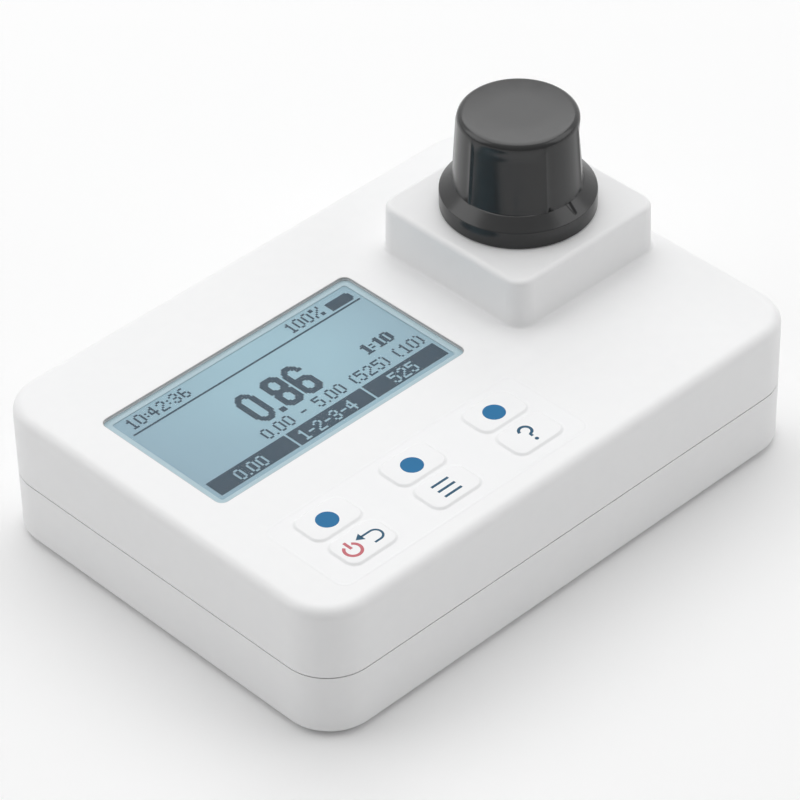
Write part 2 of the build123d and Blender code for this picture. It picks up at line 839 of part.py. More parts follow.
def battery_cover():
    """Flush cover on the underside with four screws and a finger pull."""
    inside = case_bottom + cover_thickness
    cover = plate(cover_length, cover_width, cover_radius, case_bottom, inside, battery_x)
    for x, y in cover_places():
        cover -= rod(cover_screw[1] + head_clearance, case_bottom, cover_screw_seat, x, y)
        cover -= rod(cover_screw[0] + shank_clearance, cover_screw_seat, inside, x, y)
    pull = SlotOverall(pull_length, pull_width)
    pull_x = battery_x + cover_length / 2 - cover_margin - pull_width
    cover -= extrude(Pos(pull_x, 0, case_bottom) * Rot(0, 0, 90) * pull, amount=pull_depth)
    return cover


def battery_cover_seal():
    """Flat seal between the cover and its ledge, inside the screws."""
    width = cover_seal_width
    return frame_ring(compartment_length + 2 * width, compartment_width + 2 * width, compartment_radius + width,
                      width, case_bottom + cover_thickness, seat_of_cover, battery_x)


def battery_cover_screws():
    """Four screws with their heads sunk in the cover."""
    length = seat_of_cover + cover_screw_grip - cover_screw_seat
    return [pan_screw(cover_screw, cover_screw_seat, length, x, y, True) for x, y in cover_places()]


def cuvette():
    """Round glass vial with a shoulder and a short neck."""
    inner = cuvette_radius - cuvette_wall
    neck_inner = neck_radius - neck_wall
    outside = turned([(0, cuvette_base), (cuvette_radius, cuvette_base), (cuvette_radius, cuvette_shoulder),
                      (neck_radius, neck_bottom), (neck_radius, neck_top), (0, neck_top)])
    outside = fillet(outside.edges().group_by(Axis.Z)[0], cuvette_foot_radius)
    shoulder = cuvette_shoulder - shoulder_wall_drop
    inside = turned([(0, cuvette_base + cuvette_floor), (inner, cuvette_base + cuvette_floor), (inner, shoulder),
                     (neck_inner, shoulder + shoulder_rise), (neck_inner, neck_top), (0, neck_top)])
    inside = fillet(inside.edges().group_by(Axis.Z)[0], cuvette_foot_radius)
    return Pos(well_x, well_y, 0) * (outside - inside)


def stopper():
    """Hollow plug in the neck with a flange on the mouth and a knob."""
    plug_radius = neck_radius - neck_wall - stopper_gap
    plug_end = neck_top - stopper_depth
    flange_top = neck_top + stopper_flange
    body = turned([(0, plug_end), (plug_radius, plug_end), (plug_radius, neck_top),
                   (stopper_flange_radius, neck_top), (stopper_flange_radius, flange_top),
                   (stopper_knob_radius, flange_top), (stopper_knob_radius, stopper_top), (0, stopper_top)])
    hollow = rod(plug_radius - stopper_wall, plug_end, neck_top)
    body = chamfer(body.edges().group_by(Axis.Z)[0], stopper_chamfer)
    body = fillet(body.edges().group_by(Axis.Z)[-1], stopper_round)
    return Pos(well_x, well_y, 0) * (body - hollow)


def cap_body_radius(level):
    """Radius of the cap's tapered grip at a level."""
    share = (level - cap_base) / (cap_top - cap_base)
    return cap_base_radius + (cap_top_radius - cap_base_radius) * share


def grip_circle(level, depth):
    """Section of a grip face at a level: it meets the body at the hollow's edges and lies lower between."""
    radius = cap_body_radius(level)
    half = radians(grip_angle / 2)
    sagitta = radius * (1 - cos(half)) - depth
    face_radius = ((radius * sin(half)) ** 2 + sagitta ** 2) / (2 * sagitta)
    return Pos(radius - depth - face_radius, 0, level) * Circle(face_radius)


def grip_hollow():
    """One shallow finger hollow, deepest at its rounded top."""
    high = cap_top - grip_top
    face = loft([grip_circle(cap_base, grip_foot_depth), grip_circle(high, grip_top_depth)])
    outline = Rectangle(2 * cap_base_radius * sin(radians(grip_angle / 2)), high - cap_base)
    outline = fillet(outline.vertices().group_by(Axis.Y)[-1], grip_corner_radius)
    middle = Plane(origin=(0, 0, (cap_base + high) / 2), x_dir=(0, 1, 0), z_dir=(1, 0, 0))
    return extrude(middle * outline, amount=cap_flange_radius) - face


def index_mark():
    """Tapering notch down the cone, which shows how the cuvette is turned."""
    run = cap_flange_radius - cap_base_radius
    slope = hypot(run, cap_cone_height)
    down = Vector(run / slope, 0, -cap_cone_height / slope)
    out = Vector(cap_cone_height / slope, 0, run / slope)
    start = Vector(cap_base_radius, 0, cap_base) - out * index_depth
    outline = make_face(Polyline((-index_start, index_width / 2), (index_length, index_end_width / 2),
                                 (index_length, -index_end_width / 2), (-index_start, -index_width / 2),
                                 close=True))
    return extrude(Plane(origin=start, x_dir=down, z_dir=out) * outline, amount=index_depth * 2)


def cap():
    """Cap with a round flange, a tapered grip with three finger hollows and an index notch."""
    outside = turned([(0, cap_bottom), (cap_flange_radius, cap_bottom), (cap_flange_radius, cap_cone),
                      (cap_base_radius, cap_base), (cap_top_radius, cap_top), (0, cap_top)])
    outside = fillet(outside.edges().group_by(Axis.Z)[-1], cap_rim_radius)
    corners = outside.edges().filter_by_position(Axis.Z, cap_cone, cap_cone)
    outside = fillet(corners.filter_by(GeomType.CIRCLE), cap_flange_round)
    for i in range(grip_count):
        outside -= Rot(0, 0, 180 + 360 / grip_count * i) * grip_hollow()
    outside -= index_mark()
    wide = cuvette_radius + cap_bore_gap
    narrow = neck_radius + cap_bore_gap
    hollow_top = cap_top - cap_wall
    inside = turned([(0, cap_bottom), (wide, cap_bottom), (wide, cuvette_shoulder + cap_bore_gap),
                     (narrow, neck_bottom + cap_bore_gap), (narrow, hollow_top), (0, hollow_top)])
    stem = rod(cap_stem_radius, stopper_top + cap_stem_gap, hollow_top + root)
    return Pos(well_x, well_y, 0) * Rot(0, 0, cap_turn) * (outside - inside + stem)


KEY_NAMES = ["left_soft_key", "middle_soft_key", "right_soft_key", "power_key", "menu_key", "help_key"]

os.makedirs("parts", exist_ok=True)
save("top_case", top_case())
save("bottom_case", bottom_case())
save("case_gasket", case_gasket())
save("case_screws", *case_screws())
save("rubber_feet", *rubber_feet())
save("display_window", display_window())
save("window_seal", window_seal())
save("lcd_glass", lcd_glass())
save("backlight_panel", backlight_panel())
save("display_connector", display_connector())
save("lcd_holder", lcd_holder())
save("keypad_overlay", keypad_overlay())
for name, (key_x, key_y) in zip(KEY_NAMES, key_places()):
    save(name, Pos(key_x, key_y, 0) * key())
save("dome_switches", *dome_switches())
save("main_board", main_board())
save("board_screws", *board_screws())
save("microcontroller", microcontroller())
save("optical_block", optical_block())
save("holder_screws", *holder_screws())
save("well_seal", well_seal())
save("collimating_lens", collimating_lens())
save("beam_splitter", beam_splitter())
save("reference_detector", reference_detector())
save("led", led())
save("led_board", small_board(source_reach, -1))
save("interference_filter", interference_filter())
save("sample_detector", sample_detector())
save("detector_board", small_board(detector_reach, 1))
save("optics_screws", *optics_screws())
save("battery_cells", *battery_cells())
save("battery_springs", *battery_springs())
save("battery_contacts", *battery_contacts())
save("battery_cover", battery_cover())
save("battery_cover_seal", battery_cover_seal())
save("battery_cover_screws", *battery_cover_screws())
save("cuvette", cuvette())
save("stopper", stopper())
save("cap", cap())
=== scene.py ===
import json
import math

import bpy
from mathutils import Matrix, Vector

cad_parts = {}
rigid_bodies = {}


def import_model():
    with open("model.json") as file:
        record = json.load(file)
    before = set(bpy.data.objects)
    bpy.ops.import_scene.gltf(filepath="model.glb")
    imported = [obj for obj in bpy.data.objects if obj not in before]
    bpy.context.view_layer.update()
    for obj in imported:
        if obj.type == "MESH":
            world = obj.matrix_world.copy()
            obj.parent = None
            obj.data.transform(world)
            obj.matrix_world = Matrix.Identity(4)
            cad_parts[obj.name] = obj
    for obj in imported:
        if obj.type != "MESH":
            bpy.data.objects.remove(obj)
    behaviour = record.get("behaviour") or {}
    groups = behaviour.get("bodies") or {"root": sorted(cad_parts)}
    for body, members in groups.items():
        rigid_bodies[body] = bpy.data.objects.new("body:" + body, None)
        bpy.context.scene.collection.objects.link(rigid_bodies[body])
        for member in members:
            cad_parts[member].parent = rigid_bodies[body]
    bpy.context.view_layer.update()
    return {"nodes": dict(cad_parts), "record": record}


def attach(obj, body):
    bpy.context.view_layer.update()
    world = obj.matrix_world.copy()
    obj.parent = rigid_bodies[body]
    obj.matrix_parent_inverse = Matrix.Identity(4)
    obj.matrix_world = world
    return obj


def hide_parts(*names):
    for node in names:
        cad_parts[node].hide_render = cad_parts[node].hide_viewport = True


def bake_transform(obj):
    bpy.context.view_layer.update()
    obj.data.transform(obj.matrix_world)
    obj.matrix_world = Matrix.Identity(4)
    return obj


for leftover in list(bpy.data.objects):
    bpy.data.objects.remove(leftover)
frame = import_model()
nodes = frame["nodes"]
scene = bpy.context.scene

MM = 0.001


def tree_of(name):
    """A new node material with its shader, and a helper that adds nodes to it."""
    material = bpy.data.materials.new(name)
    material.use_nodes = True
    tree = material.node_tree
    shader = tree.nodes["Principled BSDF"]

    def add(kind, inputs=None, **settings):
        node = tree.nodes.new(kind)
        for key, value in settings.items():
            setattr(node, key, value)
        for key, value in (inputs or {}).items():
            if isinstance(value, bpy.types.NodeSocket):
                tree.links.new(value, node.inputs[key])
            else:
                node.inputs[key].default_value = value
        return node

    return material, tree, shader, add


def rgb(color):
    return (*color, 1.0)


def surface(name, light, dark, rough, grain=300.0, bump=0.1, bump_size=2500.0, bump_mm=0.02,
            patches=18.0, settings=None):
    """A moulded, printed or machined surface: two close tones in soft patches, with grain and a fine bump."""
    material, tree, shader, add = tree_of(name)
    place = add("ShaderNodeTexCoord")
    large = add("ShaderNodeTexNoise", {"Vector": place.outputs["Object"], "Scale": patches, "Detail": 3.0})
    fine = add("ShaderNodeTexNoise", {"Vector": place.outputs["Object"], "Scale": grain, "Detail": 5.0,
                                      "Roughness": 0.6})
    both = add("ShaderNodeMath", {0: large.outputs["Fac"], 1: fine.outputs["Fac"]}, operation="ADD")
    tone = add("ShaderNodeMapRange", {"Value": both.outputs[0], "From Min": 0.7, "From Max": 1.3})
    mixed = add("ShaderNodeMix", {0: tone.outputs[0], 6: rgb(dark), 7: rgb(light)}, data_type="RGBA")
    tree.links.new(mixed.outputs[2], shader.inputs["Base Color"])
    gloss = add("ShaderNodeMapRange", {"Value": fine.outputs["Fac"], "From Min": 0.3, "From Max": 0.7,
                                       "To Min": rough[0], "To Max": rough[1]})
    tree.links.new(gloss.outputs[0], shader.inputs["Roughness"])
    if bump:
        relief = add("ShaderNodeTexNoise", {"Vector": place.outputs["Object"], "Scale": bump_size,
                                            "Detail": 2.0, "Roughness": 0.5})
        raised = add("ShaderNodeBump", {"Height": relief.outputs["Fac"], "Strength": bump,
                                        "Distance": bump_mm * MM})
        tree.links.new(raised.outputs[0], shader.inputs["Normal"])
    for key, value in (settings or {}).items():
        shader.inputs[key].default_value = value
    return material


clear = {"Transmission Weight": 1.0, "IOR": 1.49}
looks = {
    "white_case": surface("moulded_white", (0.915, 0.916, 0.918), (0.895, 0.897, 0.901), (0.40, 0.48),
                          bump=0.12, bump_size=1800.0, settings={"IOR": 1.4}),
    "white_membrane": surface("satin_film", (0.915, 0.917, 0.922), (0.897, 0.900, 0.906), (0.36, 0.42),
                              bump=0.06, bump_size=3200.0, settings={"IOR": 1.4}),
    "white_key": surface("soft_key_film", (0.915, 0.917, 0.922), (0.897, 0.900, 0.906), (0.36, 0.42),
                         bump=0.06, bump_size=3200.0, settings={"IOR": 1.4}),
    "dark_rubber": surface("dark_rubber", (0.045, 0.045, 0.048), (0.03, 0.03, 0.033), (0.62, 0.78),
                           bump=0.25, bump_size=1500.0),
    "steel_screw": surface("plated_steel", (0.66, 0.66, 0.67), (0.52, 0.52, 0.54), (0.22, 0.34),
                           grain=900.0, bump=0.08, settings={"Metallic": 1.0, "Anisotropic": 0.4}),
    "white_foam": surface("adhesive_film", (0.80, 0.81, 0.82), (0.74, 0.75, 0.76), (0.55, 0.65)),
    "light_guide": surface("light_guide", (0.80, 0.84, 0.86), (0.76, 0.80, 0.83), (0.25, 0.35)),
    "black_plastic": surface("matt_black_plastic", (0.022, 0.022, 0.024), (0.014, 0.014, 0.016), (0.5, 0.62),
                             bump=0.3, bump_size=1600.0),
    "steel_dome": surface("bright_dome", (0.74, 0.74, 0.74), (0.64, 0.64, 0.65), (0.12, 0.22),
                          settings={"Metallic": 1.0}),
    "circuit_board": surface("solder_mask", (0.03, 0.20, 0.09), (0.02, 0.15, 0.065), (0.22, 0.32),
                             bump=0.2, bump_size=900.0, settings={"Coat Weight": 0.3}),
    "chip_black": surface("moulded_epoxy", (0.035, 0.035, 0.036), (0.022, 0.022, 0.023), (0.5, 0.65),
                          bump=0.3),
    "led_epoxy": surface("clear_epoxy", (0.82, 0.80, 0.62), (0.76, 0.74, 0.55), (0.05, 0.12),
                         bump=0.0, settings={"Transmission Weight": 0.6, "IOR": 1.5}),
    "filter_glass": surface("coated_glass", (0.25, 0.55, 0.40), (0.20, 0.48, 0.36), (0.02, 0.06),
                            bump=0.0, settings={"Coat Weight": 0.6, "IOR": 1.52}),
    "detector_can": surface("nickel_can", (0.62, 0.60, 0.52), (0.54, 0.52, 0.45), (0.20, 0.32),
                            settings={"Metallic": 1.0}),
    "cell_jacket": surface("cell_jacket", (0.12, 0.14, 0.18), (0.09, 0.11, 0.15), (0.22, 0.30),
                           settings={"Coat Weight": 0.4}),
    "contact_metal": surface("spring_strip", (0.74, 0.72, 0.64), (0.62, 0.60, 0.52), (0.2, 0.3),
                             grain=700.0, settings={"Metallic": 1.0, "Anisotropic": 0.3}),
    "optical_glass": surface("polished_glass", (0.94, 0.97, 0.97), (0.92, 0.96, 0.96), (0.0, 0.01),
                             bump=0.0, settings=clear),
    "cuvette_glass": surface("cuvette_glass", (0.95, 0.98, 0.975), (0.93, 0.97, 0.965), (0.0, 0.012),
                             bump=0.0, settings=clear),
    "white_stopper": surface("polyethylene", (0.86, 0.87, 0.87), (0.82, 0.83, 0.83), (0.34, 0.44),
                             settings={"Subsurface Weight": 0.1, "Subsurface Scale": 0.001}),
    "cap_black": surface("glossy_black", (0.015, 0.0155, 0.016), (0.010, 0.0105, 0.011), (0.19, 0.25),
                         bump=0.04, bump_size=900.0, settings={"IOR": 1.56}),
    "clear_window": surface("window_pane", (0.95, 0.97, 0.98), (0.92, 0.95, 0.96), (0.02, 0.05),
                            bump=0.0, settings={"Alpha": 0.03, "IOR": 1.3}),
}

# Liquid crystal panel: a painted glow makes its colour brightest round its middle
material, tree, shader, add = tree_of("lcd_polariser")
place = add("ShaderNodeTexCoord")
away = add("ShaderNodeVectorMath", {0: place.outputs["Object"], 1: (-0.020, 0.016, 0.033)}, operation="DISTANCE")
# Painted glow: the colour lightens towards this point near the middle of the panel
painted_glow = add("ShaderNodeMapRange", {"Value": away.outputs["Value"], "From Min": 0.010, "From Max": 0.040,
                                  "To Min": 1.0, "To Max": 0.0})
cloud = add("ShaderNodeTexNoise", {"Vector": place.outputs["Object"], "Scale": 60.0, "Detail": 3.0})
uneven = add("ShaderNodeMapRange", {"Value": cloud.outputs["Fac"], "To Min": -0.15, "To Max": 0.15})
both = add("ShaderNodeMath", {0: painted_glow.outputs[0], 1: uneven.outputs[0]}, operation="ADD", use_clamp=True)
mixed = add("ShaderNodeMix", {0: both.outputs[0], 6: rgb((0.260, 0.402, 0.486)), 7: rgb((0.322, 0.508, 0.592))},
            data_type="RGBA")
tree.links.new(mixed.outputs[2], shader.inputs["Base Color"])
shader.inputs["Roughness"].default_value = 0.3
shader.inputs["Specular IOR Level"].default_value = 0.15
looks["lcd_glass"] = material

slot_of = {row["node"]: row["material_slot"] for row in frame["record"]["subparts"]}
for name, node in nodes.items():
    for index in range(len(node.material_slots)):
        node.material_slots[index].material = looks[slot_of[name]]


def box_mesh(name, boxes, material, body):
    """One piece made of closed boxes, each given by its lowest and highest corner in mm."""
    verts, faces = [], []
    for (x0, y0, z0), (x1, y1, z1) in boxes:
        base = len(verts)
        verts += [(x * MM, y * MM, z * MM) for z in (z0, z1) for x, y in ((x0, y0), (x1, y0), (x1, y1), (x0, y1))]
        faces += [tuple(base + i for i in quad) for quad in
                  ((3, 2, 1, 0), (4, 5, 6, 7), (0, 1, 5, 4), (1, 2, 6, 5), (2, 3, 7, 6), (3, 0, 4, 7))]
    mesh = bpy.data.meshes.new(name)
    mesh.from_pydata(verts, [], faces)
    mesh.materials.append(material)
    piece = bpy.data.objects.new(name, mesh)
    scene.collection.objects.link(piece)
    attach(piece, body)
    return piece


def loop(x, y, length, width, radius, z, steps=10):
    """Closed loop of points in mm round a rectangle with rounded corners."""
    points = []
    for turn, (sx, sy) in enumerate(((1, 1), (-1, 1), (-1, -1), (1, -1))):
        cx, cy = x + sx * (length / 2 - radius), y + sy * (width / 2 - radius)
        for i in range(steps + 1):
            a = math.pi / 2 * (turn + i / steps)
            points.append((cx + radius * math.cos(a), cy + radius * math.sin(a), z))
    return points


def looped(name, loops, material, ring=False):
    """Closed solid from loops with as many points each: a ring, or with both ends filled."""
    count = len(loops[0])
    verts = [(x * MM, y * MM, z * MM) for points in loops for x, y, z in points]
    faces = []
    for j in range(len(loops) if ring else len(loops) - 1):
        low, high = j * count, (j + 1) % len(loops) * count
        faces += [(low + i, low + (i + 1) % count, high + (i + 1) % count, high + i) for i in range(count)]
    if not ring:
        faces.append(tuple(reversed(range(count))))
        faces.append(tuple(range(len(verts) - count, len(verts))))
    mesh = bpy.data.meshes.new(name)
    mesh.from_pydata(verts, [], faces)
    mesh.materials.append(material)
    piece = bpy.data.objects.new(name, mesh)
    scene.collection.objects.link(piece)
    return piece


def smooth(piece, angle=30):
    """Smooth shading that keeps edges sharper than that angle."""
    piece.data.shade_smooth()
    piece.data.set_sharp_from_angle(angle=math.radians(angle))


def smoothstep(value):
    value = min(max(value, 0.0), 1.0)
    return value * value * (3 - 2 * value)


# Cap: its grip has three finger hollows that run out under its rounded rim, and its cone has the index notch
cap_x, cap_y, index_turn = 45.1, 9.15, math.radians(87)
cap_base, cap_top, cone_foot, rim_round = 52.5, 70.2, 50.1, 1.6
base_radius, top_radius, flange_radius = 14.4, 13.3, 17.4
rim_foot = cap_top - rim_round
hollow_half, hollow_end = math.radians(36), 69.2


def grip_radius(a, z):
    """Radius of the grip at an angle from the index and a level, with its hollows and the ridges beside them."""
    body = base_radius + (top_radius - base_radius) * (z - cap_base) / (cap_top - cap_base)
    turn = (a - math.pi + math.pi / 3) % (math.tau / 3) - math.pi / 3
    deep = 0.25 + 0.6 * (z - cap_base) / (rim_foot - cap_base)
    sagitta = body * (1 - math.cos(hollow_half)) - deep
    face = ((body * math.sin(hollow_half)) ** 2 + sagitta ** 2) / (2 * sagitta)
    middle = body - deep - face
    dent = body - middle * math.cos(turn) - math.sqrt(face ** 2 - (middle * math.sin(turn)) ** 2)
    inside = body * (hollow_half - abs(turn))
    ridge = 0.17 * math.exp(-((inside + 0.2) / 0.4) ** 2) * smoothstep((hollow_end - z) / 1.8)
    return body + ridge - max(dent, 0) * smoothstep(inside / 0.7) * smoothstep((hollow_end - z) / 4.0)


def notch_depth(a, along):
    """Depth of the index notch at an angle, and at a distance in mm down the cone from the grip."""
    if along > 3.1:
        return 0.0
    half = 0.72 - 0.5 * (along + 0.6) / 3.7
    off = abs((a + math.pi) % math.tau - math.pi) * (base_radius + 0.78 * along)
    return 0.42 * smoothstep((half + 0.25 - off) / 0.55) * smoothstep((3.1 - along) / 0.5)


angles = {i * 0.35 for i in range(-13, 14)}
for middle in (60, 180, 300):
    angles |= {middle + s * (32.4 + i * 0.35) for s in (-1, 1) for i in range(18)}
    angles |= {middle + i * 3.0 for i in range(-10, 11)}
angles |= {turn + i * 3.0 for turn in (0, 120, 240) for i in range(-6, 7) if turn or abs(i) > 1}
angles = sorted(math.radians(a % 360) for a in angles)
levels = [cap_base + 0.06, 54.0, 56.0, 58.0, 60.0, 62.0, 64.0] + [65.0 + i * 0.2 for i in range(18)]
slope = math.hypot(flange_radius - base_radius, cap_base - cone_foot)
cone_in, cone_up = (flange_radius - base_radius) / slope, (cap_base - cone_foot) / slope
profile = [(5.0, 61.9), (5.0, 68.4), (10.3, 68.4), (10.3, 51.5), (12.6, 49.5), (12.6, 46.1), (17.3, 46.1),
           (17.4, 46.2), (17.4, 49.98), (17.375, 50.095)]
loops = [[(r, z)] * len(angles) for r, z in profile]
for along in (3.72, 3.4, 3.1, 2.95, 2.8, 2.5, 2.0, 1.5, 1.0, 0.5, 0.2, 0.0):
    r, z = base_radius + cone_in * along, cap_base - cone_up * along
    loops.append([(r - cone_up * notch_depth(a, along), z - cone_in * notch_depth(a, along)) for a in angles])
loops += [[(grip_radius(a, z), z) for a in angles] for z in levels]
for over in (math.radians(10 * i) for i in range(10)):
    drop, lift = rim_round * (1 - math.cos(over)), rim_round * math.sin(over)
    loops.append([(grip_radius(a, rim_foot + lift) - drop, rim_foot + lift) for a in angles])
loops += [[(r, cap_top)] * len(angles) for r in (6.0, 0.5)]
turned = [[(cap_x + r * math.cos(a - index_turn), cap_y + r * math.sin(a - index_turn), z)
           for (r, z), a in zip(ring, angles)] for ring in loops]
grip = looped("cap_grip", turned, looks["cap_black"])
smooth(grip)
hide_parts("cap")
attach(grip, "cap")


# Reading on the display: 128 by 64 dots
dot_pitch = 0.513
dots_left, dots_top = -57.35, 26.70
dot_bottom, dot_top = 32.955, 32.975
dots = set()
font = {
    "0": "0110 1001 1001 1001 1001 1001 0110",
    "1": "0010 0110 0010 0010 0010 0010 0111",
    "2": "0110 1001 0001 0010 0100 1000 1111",
    "3": "0110 1001 0001 0110 0001 1001 0110",
    "4": "0010 0110 1010 1010 1111 0010 0010",
    "5": "1111 1000 1110 0001 0001 1001 0110",
    "6": "0110 1000 1000 1110 1001 1001 0110",
    "8": "0110 1001 1001 0110 1001 1001 0110",
    "%": "11001 11001 00010 00100 01000 10011 10011",
    "(": "01 10 10 10 10 10 01",
    ")": "10 01 01 01 01 01 10",
    ":": "0 0 1 0 1 0 0",
    ".": "0 0 0 0 0 0 1",
    "-": "000 000 000 111 000 000 000",
    " ": "000 000 000 000 000 000 000",
}


def text_dots(text, column, row, bold=1):
    """Dots of a line of small numerals whose top left dot is at column, row, and the column after it."""
    found = set()
    for letter in text:
        rows = font[letter].split()
        for down, bits in enumerate(rows):
            for along, bit in enumerate(bits):
                if bit == "1":
                    found |= {(column + along * bold + wide, row + down) for wide in range(bold)}
        column += len(rows[0]) * bold + 1
    return found, column


def rect_dots(column, row, wide, high):
    return {(column + i, row + j) for i in range(wide) for j in range(high)}


def oval_dots(column, row, wide, high):
    """Dots inside an oval with flattened sides."""
    return {(column + i, row + j) for i, j in rect_dots(0, 0, wide, high)
            if abs((2 * i + 1) / wide - 1) ** 2.8 + abs((2 * j + 1) / high - 1) ** 2.8 <= 1}


def ring_dots(column, row, wide, high, stroke):
    """Dots of a closed oval ring."""
    return (oval_dots(column, row, wide, high)
            - oval_dots(column + stroke, row + stroke, wide - 2 * stroke, high - 2 * stroke))


dots |= text_dots("10:42:36", 2, 1)[0]
dots |= text_dots("100%", 91, 1)[0]
dots |= rect_dots(114, 3, 12, 6) | rect_dots(126, 4, 1, 4)
dots |= rect_dots(0, 10, 128, 1)
digit_top, digit_high, digit_wide, stroke = 22, 21, 10, 3
dots |= ring_dots(42, digit_top, digit_wide, digit_high, stroke)
dots |= rect_dots(53, digit_top + digit_high - 3, 3, 3)
# An 8 is two rings that share a bar; a 6 is a lower ring with a stem and a hooked top
dots |= ring_dots(57, digit_top, digit_wide, 12, stroke)
dots |= ring_dots(57, digit_top + 9, digit_wide, 12, stroke)
dots |= ring_dots(68, digit_top + 9, digit_wide, 12, stroke)
hook = ring_dots(68, digit_top, digit_wide, digit_high, stroke)
dots |= {(i, j) for i, j in hook if i < 71 or j < digit_top + 6}
ratio, _ = text_dots("1:10", 103, 34)
dots |= ratio | {(i + 1, j) for i, j in ratio}
range_text = "0.00 - 5.00 (525) (10)"
range_width = text_dots(range_text, 0, 0)[1]
dots |= text_dots(range_text, 128 - range_width, 45)[0]
bars = rect_dots(0, 54, 128, 10) - rect_dots(43, 54, 1, 10) - rect_dots(86, 54, 1, 10)
for caption, column in (("0.00", 12), ("1-2-3-4", 47), ("525", 99)):
    bars -= text_dots(caption, column, 56)[0]
dots |= bars
ink_gap = 0.010
dot_boxes = []
for column, row in sorted(dots):
    x = dots_left + column * dot_pitch
    y = dots_top - (row + 1) * dot_pitch
    dot_boxes.append(((x + ink_gap, y + ink_gap, dot_bottom),
                      (x + dot_pitch - ink_gap, y + dot_pitch - ink_gap, dot_top)))
ink = surface("display_ink", (0.012, 0.048, 0.084), (0.010, 0.041, 0.072), (0.3, 0.4), bump=0.0,
              settings={"Specular IOR Level": 0.15})
box_mesh("display_reading", dot_boxes, ink, "case")

# Pale border printed on the underside of the pane
edge_print = surface("border_print", (0.470, 0.610, 0.665), (0.440, 0.580, 0.640), (0.35, 0.42), bump=0.0,
                     settings={"Specular IOR Level": 0.15})
pane = (-24.65, 9.85, 71.06, 37.86, 1.88)
sight = (-24.65, 9.85, 67.6, 34.4, 0.6)
border = looped("window_border", [loop(*pane, 33.052), loop(*pane, 33.062), loop(*sight, 33.062),
                                  loop(*sight, 33.052)], edge_print, ring=True)
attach(border, "case")
# Painted shade: a grey ring fills the gap round the pane, standing in for the shadow on the wall of the opening
opening = (-24.65, 9.85, 71.28, 38.08, 1.99)
edge_shade_paint = surface("painted_edge_shade", (0.520, 0.505, 0.500), (0.460, 0.447, 0.442), (0.5, 0.6), bump=0.2)
shade_ring = looped("pane_edge_shade_ring", [loop(*opening, 33.42), loop(*opening, 33.83), loop(*pane, 33.83), loop(*pane, 33.42)],
             edge_shade_paint, ring=True)
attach(shade_ring, "case")

# Membrane: a soft bead along its outline, and the film that is embossed over each key
outline = [(0.42, 33.9), (0.36, 33.912), (0.22, 33.945), (0.08, 33.966), (-0.08, 33.966), (-0.22, 33.945),
           (-0.36, 33.912), (-0.42, 33.9)]
bead = looped("membrane_bead", [loop(-24.5, -33.35, 71.3 + 2 * out, 24.2 + 2 * out, 2.5 + out, z)
                                for out, z in outline], looks["white_membrane"], ring=True)
smooth(bead)
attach(bead, "case")
film_top = 34.33
keys = {"left_soft_key": (-48.05, -27.9), "middle_soft_key": (-23.95, -27.9), "right_soft_key": (0.15, -27.9),
        "power_key": (-48.05, -38.1), "menu_key": (-23.95, -38.1), "help_key": (0.15, -38.1)}
# Profile of the film as size beyond the bump, height and corner radius, from its flat edge to the top
rise, run = film_top - 33.906, 0.75
upper = [(0.25, 33.903, 2.3), (0.18, 33.906, 2.35), (0.09, 33.906, 2.5)]
for i in range(11):
    share = i / 10
    upper.append((-run * share, 33.906 + rise * smoothstep(share), 2.7 - 0.5 * share))
lower = [(0.25, 33.9, 2.3), (0.18, 33.9, 2.35), (-0.04, 33.85, 2.5)] + [(out, z - 0.08, r) for out, z, r in upper[3:]]
for name, (x, y) in keys.items():
    film = looped(name + "_film", [loop(x, y, 14.1 + 2 * out, 9.6 + 2 * out, r, z)
                                   for out, z, r in lower[::-1] + upper], looks["white_key"])
    smooth(film)
    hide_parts(name)
    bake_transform(film)

# Signs on the keys
sign_low, sign_high = film_top, film_top + 0.012
matt = {"Specular IOR Level": 0.12}
blue_print = surface("blue_print", (0.034, 0.185, 0.385), (0.029, 0.168, 0.355), (0.5, 0.6), bump=0.05, settings=matt)
slate_print = surface("slate_print", (0.044, 0.120, 0.195), (0.038, 0.106, 0.175), (0.5, 0.6), bump=0.05, settings=matt)
red_print = surface("red_print", (0.610, 0.185, 0.210), (0.565, 0.170, 0.195), (0.5, 0.6), bump=0.05, settings=matt)


def sign(name, outlines, material, body):
    """Thin raised print: each outline is a closed loop of plan points in mm."""
    verts, faces = [], []
    for outline in outlines:
        count, base = len(outline), len(verts)
        verts += [(x * MM, y * MM, z * MM) for z in (sign_low, sign_high) for x, y in outline]
        faces.append(tuple(base + i for i in reversed(range(count))))
        faces.append(tuple(base + count + i for i in range(count)))
        faces += [(base + i, base + (i + 1) % count, base + count + (i + 1) % count, base + count + i)
                  for i in range(count)]
    mesh = bpy.data.meshes.new(name)
    mesh.from_pydata(verts, [], faces)
    mesh.materials.append(material)
    piece = bpy.data.objects.new(name, mesh)
    scene.collection.objects.link(piece)
    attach(piece, body)
    return piece


def circle(x, y, radius, steps=64):
    return [(x + radius * math.cos(math.tau * i / steps), y + radius * math.sin(math.tau * i / steps))
            for i in range(steps)]


def stroked(points, width):
    """Outline of a line of that width through the points, with square ends."""
    left, right = [], []
    for i, (x, y) in enumerate(points):
        ax, ay = points[max(i - 1, 0)]
        bx, by = points[min(i + 1, len(points) - 1)]
        size = math.hypot(bx - ax, by - ay)
        nx, ny = -(by - ay) / size * width / 2, (bx - ax) / size * width / 2
        left.append((x + nx, y + ny))
        right.append((x - nx, y - ny))
    return right + left[::-1]


def arc(x, y, radius, start, end, steps=40):
    return [(x + radius * math.cos(math.radians(start + (end - start) * i / steps)),
             y + radius * math.sin(math.radians(start + (end - start) * i / steps))) for i in range(steps + 1)]


